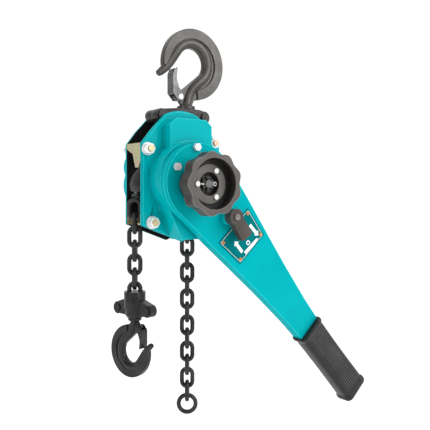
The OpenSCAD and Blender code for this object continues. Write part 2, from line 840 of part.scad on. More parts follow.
side_plate_front();
side_plate_rear();
stay_bolts();
stay_nuts();
stay_washers();
chain_guide_upper();
chain_guide_lower();
chain_guard();
brake_cover();
gear_case();
case_screws();
sheave_bearings();
gear_bushes();
pawl_pins();
pawl_springs();
top_hook_pin();
load_chain_upper();
tail_chain_upper();
drive_shaft();
brake_hub();
friction_discs();
change_gear();
wheel_hub();
handwheel();
hub_disc();
hub_screws();
castle_nut();
cotter_pin();
ratchet_disc();
pawl_a();
pawl_b();
lever_rear_shell();
lever_front_shell();
lever_bolts();
grip();
name_plate();
name_plate_rivets();
selector_shaft();
change_pawl();
selector_knob();
knob_screw();
disc_gear_a();
disc_gear_b();
load_sheave();
load_gear();
snap_ring();
sheave_chain();
top_yoke_front();
top_yoke_rear();
yoke_bolts();
top_hook();
top_latch();
latch_rivets_top();
load_chain();
tail_chain();
hook_holder_a();
hook_holder_b();
holder_fasteners();
bottom_hook();
bottom_latch();
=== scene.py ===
"""Looks of the lever chain hoist: materials, lights, camera and the detailed
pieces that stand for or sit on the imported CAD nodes. Lengths are in metres in
the row frame; the helpers that take millimetres say so."""

import json
import math

import bmesh
import bpy
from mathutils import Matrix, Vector


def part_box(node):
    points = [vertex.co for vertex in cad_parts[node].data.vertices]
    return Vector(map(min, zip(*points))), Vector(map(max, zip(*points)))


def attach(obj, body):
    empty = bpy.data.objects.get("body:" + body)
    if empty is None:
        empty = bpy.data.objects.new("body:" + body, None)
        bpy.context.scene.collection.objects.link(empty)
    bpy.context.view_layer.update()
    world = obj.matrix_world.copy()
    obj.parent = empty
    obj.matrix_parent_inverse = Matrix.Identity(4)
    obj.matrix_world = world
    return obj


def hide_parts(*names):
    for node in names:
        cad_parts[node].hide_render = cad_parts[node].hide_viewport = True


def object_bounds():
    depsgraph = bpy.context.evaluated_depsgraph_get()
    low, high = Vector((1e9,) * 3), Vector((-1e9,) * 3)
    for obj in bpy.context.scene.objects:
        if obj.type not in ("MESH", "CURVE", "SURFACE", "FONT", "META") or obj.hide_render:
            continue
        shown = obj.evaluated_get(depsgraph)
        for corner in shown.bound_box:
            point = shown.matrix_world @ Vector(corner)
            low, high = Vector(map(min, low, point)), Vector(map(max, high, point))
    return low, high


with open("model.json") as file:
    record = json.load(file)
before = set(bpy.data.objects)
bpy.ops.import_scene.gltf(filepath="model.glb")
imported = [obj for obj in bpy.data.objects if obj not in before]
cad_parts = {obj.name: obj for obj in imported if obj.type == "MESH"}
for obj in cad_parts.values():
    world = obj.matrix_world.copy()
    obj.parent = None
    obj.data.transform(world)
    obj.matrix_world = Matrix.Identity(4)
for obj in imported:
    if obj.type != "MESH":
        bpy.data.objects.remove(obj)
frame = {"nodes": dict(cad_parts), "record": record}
cad_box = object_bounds()
MM = 0.001

JOINTS = {j["name"]: j for j in frame["record"]["behaviour"]["joints"]}
DRIVE = Vector(JOINTS["drive_turn"]["pos_m"])

# The lever's own frame: the head's centre seen from the drive shaft, and how
# far the lever drops below level.
HEAD_OFFSET = Vector((11.3, 0, 2.7)) * MM
LEVER_DROP = math.radians(47.5)


# ---------------------------------------------------------------- materials


def node_material(name):
    mat = bpy.data.materials.new(name)
    mat.use_nodes = True
    tree = mat.node_tree
    shader = tree.nodes["Principled BSDF"]
    coords = tree.nodes.new("ShaderNodeTexCoord")
    return mat, tree, shader, coords.outputs["Object"]


def noise(tree, coords, scale, detail=4.0, rough=0.55, stretch=(1, 1, 1)):
    """A noise texture on the piece's own coordinates; returns its value."""
    mapping = tree.nodes.new("ShaderNodeMapping")
    mapping.inputs["Scale"].default_value = stretch
    tree.links.new(coords, mapping.inputs["Vector"])
    tex = tree.nodes.new("ShaderNodeTexNoise")
    tex.inputs["Scale"].default_value = scale
    tex.inputs["Detail"].default_value = detail
    tex.inputs["Roughness"].default_value = rough
    tree.links.new(mapping.outputs["Vector"], tex.inputs["Vector"])
    return tex.outputs["Fac"]


def ramp(tree, value, stops):
    """A colour ramp; stops are (position, colour) pairs."""
    node = tree.nodes.new("ShaderNodeValToRGB")
    band = node.color_ramp
    while len(band.elements) < len(stops):
        band.elements.new(0.5)
    for element, (place, colour) in zip(band.elements, stops):
        element.position = place
        element.color = (*colour, 1.0)
    tree.links.new(value, node.inputs["Fac"])
    return node.outputs["Color"]


def grey(value):
    return (value, value, value)


def bump(tree, shader, layers):
    """Chains bump nodes: layers are (height value, strength, distance in m)."""
    normal = None
    for height, strength, distance in layers:
        node = tree.nodes.new("ShaderNodeBump")
        node.inputs["Strength"].default_value = strength
        node.inputs["Distance"].default_value = distance
        tree.links.new(height, node.inputs["Height"])
        if normal:
            tree.links.new(normal, node.inputs["Normal"])
        normal = node.outputs["Normal"]
    tree.links.new(normal, shader.inputs["Normal"])


def mixed(tree, shader, factor, colour):
    """Mixes the base colour towards another one by the factor."""
    mix = tree.nodes.new("ShaderNodeMix")
    mix.data_type = "RGBA"
    mix.inputs[7].default_value = (*colour, 1)
    tree.links.new(shader.inputs["Base Color"].links[0].from_socket, mix.inputs[6])
    tree.links.new(factor, mix.inputs[0])
    tree.links.new(mix.outputs[2], shader.inputs["Base Color"])


def ranged(tree, value, low, high, result):
    """Maps low..high of a value to 0..result."""
    node = tree.nodes.new("ShaderNodeMapRange")
    node.inputs["From Min"].default_value = low
    node.inputs["From Max"].default_value = high
    node.inputs["To Max"].default_value = result
    tree.links.new(value, node.inputs["Value"])
    return node.outputs["Result"]


def paint(name, colour, dark, rough=(0.16, 0.3), coat=0.6):
    """Glossy paint on pressed steel: faint orange peel and uneven sheen."""
    mat, tree, shader, coords = node_material(name)
    tone = noise(tree, coords, 14, 3)
    tree.links.new(ramp(tree, tone, [(0.3, dark), (0.62, colour)]), shader.inputs["Base Color"])
    sheen = noise(tree, coords, 60, 2)
    tree.links.new(
        ramp(tree, sheen, [(0.3, grey(rough[0])), (0.7, grey(rough[1]))]),
        shader.inputs["Roughness"],
    )
    bump(tree, shader, [
        (noise(tree, coords, 420, 1), 0.12, 0.0002),
        (noise(tree, coords, 22, 1), 0.1, 0.0009),
    ])
    shader.inputs["Coat Weight"].default_value = coat
    shader.inputs["Coat Roughness"].default_value = 0.07
    shader.inputs["Coat IOR"].default_value = 1.5
    shader.inputs["Specular IOR Level"].default_value = 0.0
    return mat


def metal(name, colour, dark, rough=(0.25, 0.45), metallic=1.0, grain=700, lathe=False):
    """Bare, plated or blackened metal with fine grain and uneven tone."""
    mat, tree, shader, coords = node_material(name)
    tone = noise(tree, coords, 55, 5, 0.6)
    tree.links.new(ramp(tree, tone, [(0.32, dark), (0.66, colour)]), shader.inputs["Base Color"])
    smudge = noise(tree, coords, 130, 3)
    tree.links.new(
        ramp(tree, smudge, [(0.3, grey(rough[0])), (0.7, grey(rough[1]))]),
        shader.inputs["Roughness"],
    )
    stretch = (1, 12, 1) if lathe else (1, 1, 1)
    bump(tree, shader, [
        (noise(tree, coords, grain, 3, 0.6, stretch), 0.22, 0.0002),
        (noise(tree, coords, 70, 2), 0.12, 0.0006),
    ])
    shader.inputs["Metallic"].default_value = metallic
    return mat


def forged(name, colour, dark, rough=(0.35, 0.55), metallic=0.55):
    """Drop-forged, blackened steel: pitted scale with brighter rubbed spots."""
    mat, tree, shader, coords = node_material(name)
    tone = noise(tree, coords, 34, 3, 0.55)
    tree.links.new(ramp(tree, tone, [(0.3, dark), (0.7, colour)]), shader.inputs["Base Color"])
    smudge = noise(tree, coords, 70, 2)
    tree.links.new(
        ramp(tree, smudge, [(0.3, grey(rough[0])), (0.7, grey(rough[1]))]),
        shader.inputs["Roughness"],
    )
    bump(tree, shader, [
        (noise(tree, coords, 200, 2, 0.55), 0.09, 0.0003),
        (noise(tree, coords, 60, 2), 0.2, 0.0008),
    ])
    shader.inputs["Metallic"].default_value = metallic
    shader.inputs["Specular IOR Level"].default_value = 0.3
    return mat


def wheel_with_painted_shade(name, node, face, shade, depth):
    """Forged grey kept at the face colour over its outermost depth, in mm, with painted shade deeper
    in: the colour turns to shade from there to twice that depth.
    """
    mat = forged(name, face, [0.8 * c for c in face], (0.26, 0.42), 0.15)
    tree = mat.node_tree
    shader = tree.nodes["Principled BSDF"]
    front = min(v.co.y for v in frame["nodes"][node].data.vertices)
    place = tree.nodes.new("ShaderNodeSeparateXYZ")
    tree.links.new(tree.nodes["Texture Coordinate"].outputs["Object"], place.inputs["Vector"])
    # Painted shade on the faces further back than the outermost depth
    inside = ranged(tree, place.outputs["Y"], front + depth * MM, front + 2 * depth * MM, 1)
    mixed(tree, shader, inside, shade)
    return mat


def passivated(name):
    """Yellow zinc plate, with the rainbow tint that the bath leaves."""
    mat, tree, shader, coords = node_material(name)
    tint = noise(tree, coords, 38, 2, 0.5)
    stops = [
        (0.30, (0.50, 0.35, 0.17)), (0.42, (0.60, 0.49, 0.26)), (0.52, (0.46, 0.50, 0.30)),
        (0.62, (0.62, 0.40, 0.30)), (0.74, (0.56, 0.48, 0.28)),
    ]
    tree.links.new(ramp(tree, tint, stops), shader.inputs["Base Color"])
    smudge = noise(tree, coords, 150, 3)
    tree.links.new(
        ramp(tree, smudge, [(0.3, grey(0.22)), (0.7, grey(0.42))]), shader.inputs["Roughness"]
    )
    bump(tree, shader, [(noise(tree, coords, 600, 3), 0.2, 0.0002)])
    shader.inputs["Metallic"].default_value = 0.75
    return mat


def half_black(name, colour, dark, side):
    """Paint whose faces that look along side * Y are black inside the frame."""
    mat = paint(name, colour, dark, coat=0.25)
    tree = mat.node_tree
    shader = tree.nodes["Principled BSDF"]
    facing = tree.nodes.new("ShaderNodeSeparateXYZ")
    tree.links.new(tree.nodes["Texture Coordinate"].outputs["Normal"], facing.inputs["Vector"])
    inside = ranged(tree, facing.outputs["Y"], 0.6 * side, 0.9 * side, 1)
    mixed(tree, shader, inside, (0.012, 0.012, 0.013))
    return mat


def painted_highlight_and_shade(mat, reach, light, highlight_share, shade, hollow_share):
    """Painted highlight in the light colour on outer edges, reach mm wide, and painted shade in the
    shade colour in recesses.
    """
    tree = mat.node_tree
    shader = tree.nodes["Principled BSDF"]
    # Painted shade: recesses found by ambient occlusion are darkened towards the shade colour
    openness = tree.nodes.new("ShaderNodeAmbientOcclusion")
    openness.samples = OPEN_SAMPLES
    openness.inputs["Distance"].default_value = OPEN_REACH * MM
    mixed(tree, shader, ranged(tree, openness.outputs["AO"], 0.95, 0.3, hollow_share), shade)
    # Painted highlight: outer edges found by the bevel normal are lightened towards the light colour,
    # less so in recesses
    rounded = tree.nodes.new("ShaderNodeBevel")
    rounded.samples = OPEN_SAMPLES
    rounded.inputs["Radius"].default_value = reach * MM
    likeness = tree.nodes.new("ShaderNodeVectorMath")
    likeness.operation = "DOT_PRODUCT"
    surface = tree.nodes.new("ShaderNodeNewGeometry")
    tree.links.new(rounded.outputs["Normal"], likeness.inputs[0])
    tree.links.new(surface.outputs["Normal"], likeness.inputs[1])
    outer = tree.nodes.new("ShaderNodeMath")
    outer.operation = "MULTIPLY"
    edge = ranged(tree, likeness.outputs["Value"], 0.995, 0.95, highlight_share)
    tree.links.new(edge, outer.inputs[0])
    tree.links.new(ranged(tree, openness.outputs["AO"], 0.7, 0.95, 1), outer.inputs[1])
    mixed(tree, shader, outer.outputs["Value"], light)
    return mat


def rubber(name, dark, light):
    mat, tree, shader, coords = node_material(name)
    tone = noise(tree, coords, 40, 4)
    tree.links.new(
        ramp(tree, tone, [(0.3, grey(dark)), (0.7, grey(light))]), shader.inputs["Base Color"]
    )
    smudge = noise(tree, coords, 90, 3)
    tree.links.new(
        ramp(tree, smudge, [(0.3, grey(0.24)), (0.7, grey(0.4))]), shader.inputs["Roughness"]
    )
    bump(tree, shader, [(noise(tree, coords, 900, 3, 0.6), 0.25, 0.0002)])
    shader.inputs["Specular IOR Level"].default_value = 0.3
    return mat


TEAL = (0.0, 0.39, 0.42)
TEAL_DARK = (0.0, 0.35, 0.38)
# Painted highlight colour for the teal's outer edges and painted shade colour for its recesses
TEAL_HIGHLIGHT = (0.04, 0.78, 0.80)
TEAL_HOLLOW_SHADE = (0.0, 0.16, 0.18)
# How far a surface looks for others over it, in mm, to know that it's recessed and so gets painted
# shade
OPEN_REACH = 14
OPEN_SAMPLES = 8

MATS = {
    # Teal paint with painted highlight on its edges and painted shade in its recesses
    "teal_paint": painted_highlight_and_shade(
        paint("teal_paint", TEAL, TEAL_DARK, (0.22, 0.34), 0.22), 1.2, TEAL_HIGHLIGHT, 0.9,
        TEAL_HOLLOW_SHADE, 0.55
    ),
    "zinc_bright": metal(
        "zinc_bright", (0.66, 0.67, 0.66), (0.40, 0.42, 0.44), (0.12, 0.28), 0.55
    ),
    "zinc_gold": passivated("zinc_gold"),
    "black_gloss": paint("black_gloss", grey(0.012), grey(0.006), (0.12, 0.25)),
    "yoke_steel": forged(
        "yoke_steel", (0.055, 0.052, 0.05), (0.016, 0.015, 0.015), (0.22, 0.42), 0.4
    ),
    "hook_steel": forged(
        "hook_steel", (0.068, 0.064, 0.058), (0.040, 0.037, 0.034), (0.2, 0.36), 0.3
    ),
    "latch_steel": metal("latch_steel", grey(0.13), grey(0.07), (0.22, 0.36), 0.6),
    "rivet_white": metal("rivet_white", grey(0.9), grey(0.78), (0.15, 0.3)),
    "charcoal_steel": forged(
        "charcoal_steel", (0.034, 0.034, 0.036), (0.010, 0.010, 0.011), (0.18, 0.34), 0.4
    ),
    "wheel_grey": forged(
        "wheel_grey", (0.050, 0.045, 0.042), (0.028, 0.026, 0.024), (0.2, 0.36), 0.2
    ),
    "knob_grey": forged(
        "knob_grey", (0.085, 0.070, 0.062), (0.052, 0.043, 0.039), (0.28, 0.44), 0.2
    ),
    "grip_rubber": rubber("grip_rubber", 0.006, 0.014),
    # Lighter rubber on the grip's rib crests, a painted highlight
    "grip_ridge_highlight": rubber("grip_ridge_highlight", 0.055, 0.085),
    "zinc_white": metal(
        "zinc_white", (0.88, 0.88, 0.87), (0.62, 0.63, 0.65), (0.14, 0.3), 0.35
    ),
    "screw_grey": metal("screw_grey", (0.30, 0.28, 0.26), (0.16, 0.15, 0.14), (0.2, 0.36), 0.5),
    # Cast wheel with painted shade on its deeper faces, painted highlight on its edges and painted
    # shade in its recesses
    "wheel_cast": painted_highlight_and_shade(
        wheel_with_painted_shade(
            "wheel_cast", "handwheel", (0.095, 0.086, 0.08), (0.018, 0.016, 0.015), 1.8
        ),
        0.9, (0.30, 0.28, 0.27), 0.7, grey(0.006), 0.5
    ),
    "disc_grey": forged(
        "disc_grey", (0.125, 0.118, 0.105), (0.085, 0.08, 0.072), (0.28, 0.42), 0.15
    ),
    # Lever paint with painted highlight on its edges and painted shade in its recesses
    "teal_lever": painted_highlight_and_shade(
        paint("teal_lever", (0.0, 0.355, 0.385), (0.0, 0.32, 0.35), (0.22, 0.34), 0.07), 1.2,
        TEAL_HIGHLIGHT, 0.7, TEAL_HOLLOW_SHADE, 0.55
    ),
    "label_teal": paint("label_teal", (0.0, 0.155, 0.165), (0.0, 0.135, 0.148), (0.3, 0.4), 0.05),
    "rivet_orange": metal("rivet_orange", (0.78, 0.30, 0.07), (0.55, 0.20, 0.05), (0.2, 0.36), 0.5),
    "bare_steel": metal("bare_steel", (0.16, 0.155, 0.15), (0.08, 0.08, 0.08), (0.2, 0.4), lathe=True),
    "lining": forged("lining", (0.26, 0.17, 0.10), (0.16, 0.10, 0.06), (0.6, 0.8), 0.0),
    "bronze": metal("bronze", (0.75, 0.48, 0.22), (0.55, 0.33, 0.14), (0.25, 0.4)),
    "teal_front_plate": half_black("teal_front_plate", TEAL, TEAL_DARK, 1),
    "teal_rear_plate": half_black("teal_rear_plate", TEAL, TEAL_DARK, -1),
    "print_white": paint("print_white", (0.85, 0.87, 0.87), (0.78, 0.80, 0.80), (0.35, 0.45), 0.1),
}


# ------------------------------------------------------------- CAD's finish

# Edge radius on each CAD node that stays, in mm; the rest get a small break.
EDGE = {
    "brake_cover": 3.0, "gear_case": 2.2, "lever_front_shell": 1.6, "lever_rear_shell": 1.2,
    "handwheel": 2.2, "selector_knob": 1.6, "top_yoke_front": 1.6, "top_yoke_rear": 1.6,
    "hook_holder_a": 1.0, "hook_holder_b": 1.0, "top_latch": 0.5, "bottom_latch": 0.35,
    "stay_nuts": 0.7, "lever_bolts": 0.8, "wheel_hub": 1.0, "hub_disc": 0.5,
    "side_plate_front": 0.4, "side_plate_rear": 0.4, "name_plate": 0.15,
}
SMALL_EDGE = 0.25
# Nodes painted a little differently from their record's slot
OWN_PAINT = {
    "side_plate_front": "teal_front_plate", "side_plate_rear": "teal_rear_plate",
    "lever_front_shell": "teal_lever", "lever_rear_shell": "teal_lever",
    "handwheel": "wheel_cast", "hub_disc": "disc_grey", "knob_screw": "screw_grey",
    "stay_washers": "zinc_white", "stay_nuts": "zinc_white", "lever_bolts": "zinc_white",
    "hub_screws": "zinc_white",
}
# Nodes whose round wires need no bevel
ROUND = {"load_chain", "tail_chain", "sheave_chain", "load_chain_upper", "tail_chain_upper",
         "pawl_springs"}
SHARP = math.radians(28)


def dress(node, slot):
    """Gives a CAD node its material and broken edges."""
    obj = frame["nodes"][node]
    obj.data.materials.clear()
    obj.data.materials.append(MATS[OWN_PAINT.get(node, slot)])
    if node in ROUND:
        return
    weld = obj.modifiers.new("weld", "WELD")
    weld.merge_threshold = 1e-6
    bevel = obj.modifiers.new("edges", "BEVEL")
    bevel.width = EDGE.get(node, SMALL_EDGE) * MM
    bevel.segments = 3 if EDGE.get(node, 0) > 0.9 else 2
    bevel.limit_method = "ANGLE"
    bevel.angle_limit = SHARP
    bevel.use_clamp_overlap = True
    bevel.harden_normals = False


for entry in frame["record"]["subparts"]:
    dress(entry["node"], entry["material_slot"])


# ------------------------------------------------------------ mesh helpers


def lever_point(s, y, t):
    """A point given along the lever, along the shaft and across it, in mm."""
    x = s * math.cos(LEVER_DROP) + t * math.sin(LEVER_DROP)
    z = -s * math.sin(LEVER_DROP) + t * math.cos(LEVER_DROP)
    return DRIVE + HEAD_OFFSET + Vector((x, y, z)) * MM


def add_mesh(name, verts, faces, slot, body, smooth=35):
    mesh = bpy.data.meshes.new(name)
    mesh.from_pydata([tuple(v) for v in verts], [], faces)
    work = bmesh.new()
    work.from_mesh(mesh)
    bmesh.ops.recalc_face_normals(work, faces=work.faces)
    work.to_mesh(mesh)
    work.free()
    mesh.materials.append(MATS[slot])
    mesh.shade_smooth()
    mesh.set_sharp_from_angle(angle=math.radians(smooth))
    obj = bpy.data.objects.new(name, mesh)
    bpy.context.scene.collection.objects.link(obj)
    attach(obj, body)
    return obj


def loft(rows):
    """Verts and faces that join equal loops of points in order, closed at both ends."""
    count = len(rows[0])
    verts = [p for row in rows for p in row]
    faces = []
    for i in range(len(rows) - 1):
        for k in range(count):
            n = (k + 1) % count
            faces.append((i * count + k, i * count + n, (i + 1) * count + n, (i + 1) * count + k))
    faces.append(tuple(range(count - 1, -1, -1)))
    faces.append(tuple(range(len(verts) - count, len(verts))))
    return verts, faces


# ------------------------------------------------------------------- grip

# Along the lever, in mm; the section is a rounded box across the lever
GRIP_START, GRIP_END = 282.0, 424.0
GRIP_Y = -59.6
GRIP_FLAT = 13.6
GRIP_R = 13.6
GRIP_CORNER = 8.4
FLANGE_R = 15.4
RIB_PITCH = 3.4
RIB_DEPTH = 1.3
FLAT_STEPS = 80
CORNER_STEPS = 8


def grip_loop(s, radius, rib):
    """One cross-section, half thickness radius, with ribs on its flat faces."""
    points = []
    flat = GRIP_FLAT + 0.8 * (radius - GRIP_R)
    for side in (1, -1):
        for k in range(FLAT_STEPS):
            t = side * flat * (1 - 2 * k / FLAT_STEPS)
            groove = 0.5 - 0.5 * math.cos(2 * math.pi * t / RIB_PITCH)
            points.append((t, -side * (radius - rib * groove)))
        for quarter in (0, 1):
            for k in range(CORNER_STEPS):
                a = math.pi / 2 * (quarter + k / CORNER_STEPS)
                middle = (radius - GRIP_CORNER) * (1 if quarter == 0 else -1)
                points.append((
                    -side * (flat + GRIP_CORNER * math.sin(a)),
                    -side * (middle + GRIP_CORNER * math.cos(a)),
                ))
    return [lever_point(s, GRIP_Y + y, t) for t, y in points]


def make_grip():
    """Moulded rubber grip: rounded collars at both ends and a ribbed palm whose rib crests are a
    lighter rubber, a painted highlight.
    """
    stations = [
        (GRIP_START, FLANGE_R - 2.2, 0), (GRIP_START + 0.4, FLANGE_R - 0.9, 0),
        (GRIP_START + 1.4, FLANGE_R, 0), (GRIP_START + 4.2, FLANGE_R, 0),
        (GRIP_START + 5.6, FLANGE_R - 0.7, 0), (GRIP_START + 6.6, GRIP_R + 0.3, 0),
        (GRIP_START + 8.0, GRIP_R, 0), (GRIP_START + 9.5, GRIP_R, RIB_DEPTH),
    ]
    middle = 14
    for k in range(1, middle):
        s = GRIP_START + 9.5 + (GRIP_END - GRIP_START - 24) * k / middle
        waist = 0.5 * math.sin(math.pi * k / middle)
        stations.append((s, GRIP_R - waist, RIB_DEPTH))
    stations += [
        (GRIP_END - 14.5, GRIP_R, RIB_DEPTH), (GRIP_END - 13, GRIP_R, 0),
        (GRIP_END - 10.4, GRIP_R + 0.2, 0), (GRIP_END - 9.0, FLANGE_R - 0.6, 0),
        (GRIP_END - 7.6, FLANGE_R, 0), (GRIP_END - 3.2, FLANGE_R, 0),
        (GRIP_END - 1.3, FLANGE_R - 0.8, 0), (GRIP_END - 0.3, FLANGE_R - 2.4, 0),
        (GRIP_END, FLANGE_R - 4.6, 0),
    ]
    verts, faces = loft([grip_loop(s, r, rib) for s, r, rib in stations])
    obj = add_mesh("grip_moulding", verts, faces, "grip_rubber", "lever", 50)
    # The rib crests take the lighter rubber as painted highlight
    obj.data.materials.append(MATS["grip_ridge_highlight"])
    around = 2 * (FLAT_STEPS + 2 * CORNER_STEPS)
    for i in range(len(stations) - 1):
        if not (stations[i][2] and stations[i + 1][2]):
            continue
        for k in range(around):
            step = k % (FLAT_STEPS + 2 * CORNER_STEPS)
            t = GRIP_FLAT * (1 - 2 * (step + 0.5) / FLAT_STEPS)
            if step < FLAT_STEPS and math.cos(2 * math.pi * t / RIB_PITCH) > 0.2:
                obj.data.polygons[i * around + k].material_index = 1
    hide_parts("grip")


make_grip()


# -------------------------------------------------------------- name plate

PLATE_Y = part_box("name_plate")[0].y / MM
PRINT_T = 0.06
# Corners of the plate along and across the lever, in mm
PLATE = [(77, 34), (77, -32), (123, -26), (123, 30)]
RIVETS_AT = [(82, 28.5), (82, -26.5), (118, -21.5), (118, 25.5)]


def prism(outline, y0, y1):
    """Verts and faces of a flat outline in (s, t), from y0 to y1 (mm)."""
    n = len(outline)
    verts = [lever_point(s, y, t) for y in (y0, y1) for s, t in outline]
    faces = [tuple(range(n)), tuple(range(2 * n - 1, n - 1, -1))]
    faces += [(k, (k + 1) % n, n + (k + 1) % n, n + k) for k in range(n)]
    return verts, faces


def merge(parts):
    verts, faces = [], []
    for v, f in parts:
        faces += [tuple(i + len(verts) for i in face) for face in f]
        verts += v
    return verts, faces


def to_lever(x, z):
    """Turns a place seen from the drive shaft, in mm, to (s, t)."""
    dx, dz = x - HEAD_OFFSET.x / MM, z - HEAD_OFFSET.z / MM
    c, s = math.cos(LEVER_DROP), math.sin(LEVER_DROP)
    return dx * c - dz * s, dx * s + dz * c


def bar(a, b, half):
    """A straight stroke from a to b, as an outline."""
    d = Vector(b) - Vector(a)
    n = Vector((-d.y, d.x)).normalized() * half
    a, b = Vector(a), Vector(b)
    return [tuple(p) for p in (a + n, b + n, b - n, a - n)]


def arrow(tail, tip, half):
    """Outline of a plain arrow with a head twice as wide as its shaft."""
    tail, tip = Vector(tail), Vector(tip)
    along = (tip - tail).normalized()
    n = Vector((-along.y, along.x))
    neck = tip - along * 2.4 * half
    return [tuple(p) for p in (
        tail + n * half, neck + n * half, neck + n * 2.1 * half, tip,
        neck - n * 2.1 * half, neck - n * half, tail - n * half,
    )]


def circle_outline(centre, radius, steps=28):
    return [
        (centre[0] + radius * math.cos(2 * math.pi * k / steps),
         centre[1] + radius * math.sin(2 * math.pi * k / steps))
        for k in range(steps)
    ]


def make_print():
    """White print on the plate: a border, two direction arrows and a bar."""
    y0, y1 = PLATE_Y - PRINT_T, PLATE_Y
    inset = 2.2
    mid_s = sum(p[0] for p in PLATE) / 4
    mid_t = sum(p[1] for p in PLATE) / 4
    ring = [(s - math.copysign(inset, s - mid_s), t - math.copysign(inset, t - mid_t))
            for s, t in PLATE]
    parts = [prism(bar(ring[k], ring[(k + 1) % 4], 0.24), y0, y1) for k in range(4)]
    up = arrow(to_lever(78.5, -89.5), to_lever(65.5, -74.5), 2.3)
    down = arrow(to_lever(91.5, -53.5), to_lever(106, -68.5), 2.3)
    parts += [prism(up, y0, y1), prism(down, y0, y1)]
    parts.append(prism(bar(to_lever(105, -73), to_lever(83, -91), 2.1), y0, y1))
    obj = add_mesh("plate_print", *merge(parts), "print_white", "lever")
    dial_at = to_lever(88.5, -77.5)
    outer = circle_outline(dial_at, 3.2)
    inner = circle_outline(dial_at, 1.9)
    n = len(outer)
    verts = [lever_point(s, y, t) for y in (y0, y1) for s, t in outer + inner]
    faces = []
    for k in range(n):
        m = (k + 1) % n
        faces += [
            (k, m, n + m, n + k), (2 * n + k, 2 * n + m, 3 * n + m, 3 * n + k),
            (k, m, 2 * n + m, 2 * n + k), (n + k, n + m, 3 * n + m, 3 * n + k),
        ]
    dial = add_mesh("plate_dial", verts, faces, "print_white", "lever")


make_print()


def lathe(profile, centre, steps=28):
    """Revolves (radius, y) points, in mm, about a line along Y at centre."""
    rows = []
    for r, y in profile:
        rows.append([
            Vector((centre.x + r * MM * math.cos(a), y * MM, centre.z + r * MM * math.sin(a)))
            for a in (2 * math.pi * k / steps for k in range(steps))
        ])
    return loft(rows)


def make_rivets():
    """Tubular rivets: a rolled rim about a dark hole."""
    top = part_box("name_plate_rivets")[0].y / MM
    profile = [
        (2.2, PLATE_Y), (2.2, top + 0.35), (1.9, top), (1.3, top), (1.0, top + 0.4),
        (0.95, top + 0.9),
    ]
    parts = [lathe(profile, lever_point(s, 0, t)) for s, t in RIVETS_AT]
    obj = add_mesh("plate_eyelets", *merge(parts), "rivet_orange", "lever", 40)
    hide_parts("name_plate_rivets")


make_rivets()


# ------------------------------------------------------------------- hooks

# All in mm, in the hook's own frame: X across, Z up from the top of its collar
BOWL_AT, BOWL_R = (7.0, 59.0), 20.0
BULB_R = 27.6
BACK_AT, BACK_R = (10.5, 58.0), 49.0
WEB_HALF = 3.0
FLANGE_HALF = 5.0
HOOK_PIVOT = (-13.0, 11.5)
# Spine of the round body from the nose tip to the bowl: x, z, half width
# across the spine, half thickness
NOSE = [(-45.4, 39.9, 2.6, 2.8), (-44.3, 40.7, 4.2, 4.3), (-41.2, 43.0, 4.9, 4.9),
        (-36.8, 46.6, 5.4, 5.2), (-32.0, 51.6, 6.2, 5.5), (-26.8, 58.0, 6.9, 5.8),
        (-22.0, 65.2, 7.2, 6.6)]
NECK = [(20.4, 34.6, 7.4, 7.6), (15.6, 30.4, 7.3, 7.5), (10.4, 25.6, 7.0, 7.3),
        (6.0, 20.0, 6.6, 7.1), (3.0, 13.6, 6.6, 7.0), (1.2, 7.6, 7.0, 7.2),
        (0.2, 2.0, 7.5, 7.6), (0.0, -4.0, 7.6, 7.6)]
BULB_FROM, BULB_TO, BULB_STEPS = 146, -44, 26
SECTION = 28


def polar(centre, radius, degrees):
    a = math.radians(degrees)
    return (centre[0] + radius * math.cos(a), centre[1] + radius * math.sin(a))


def hook_body():
    """The round body swept along the hook, from nose tip to collar."""
    spine = list(NOSE)
    for k in range(BULB_STEPS + 1):
        t = k / BULB_STEPS
        x, z = polar(BOWL_AT, BULB_R, BULB_FROM + (BULB_TO - BULB_FROM) * t)
        spine.append((x, z, 7.4, 7.6))
    spine += NECK
    rows = []
    for i, (x, z, wide, thick) in enumerate(spine):
        before, after = spine[max(i - 1, 0)], spine[min(i + 1, len(spine) - 1)]
        along = Vector((after[0] - before[0], after[1] - before[1])).normalized()
        across = Vector((along.y, -along.x))
        row = []
        for k in range(SECTION):
            a = 2 * math.pi * k / SECTION
            c, s = math.cos(a), math.sin(a)
            u = math.copysign(abs(c) ** 0.8, c) * wide
            v = math.copysign(abs(s) ** 0.8, s) * thick
            row.append(Vector((x + across.x * u, v, z + across.y * u)))
        rows.append(row)
    return loft(rows)


def hook_flange():
    """The flat outer rib, with broken edges and a step at each end."""
    rows = []
    steps = 56
    for k in range(steps + 1):
        t = k / steps
        degrees = 186 - 268 * t
        fade = min(1.0, (t + 0.01) / 0.1)
        inner = BACK_R - 5.0 - 9.5 * fade * min(1.0, (1.08 - t) / 0.1)
        rim = 0.9
        outline = [
            (inner, WEB_HALF - 1.5), (inner + 0.3, FLANGE_HALF - 0.5), (inner + 0.8, FLANGE_HALF),
            (BACK_R - rim, FLANGE_HALF), (BACK_R - 0.3, FLANGE_HALF - 0.3),
            (BACK_R, FLANGE_HALF - rim),
        ]
        loop = outline + [(r, -y) for r, y in reversed(outline)]
        row = []
        for r, y in loop:
            x, z = polar(BACK_AT, r, degrees)
            row.append(Vector((x, y, z)))
        rows.append(row)
    return loft(rows)


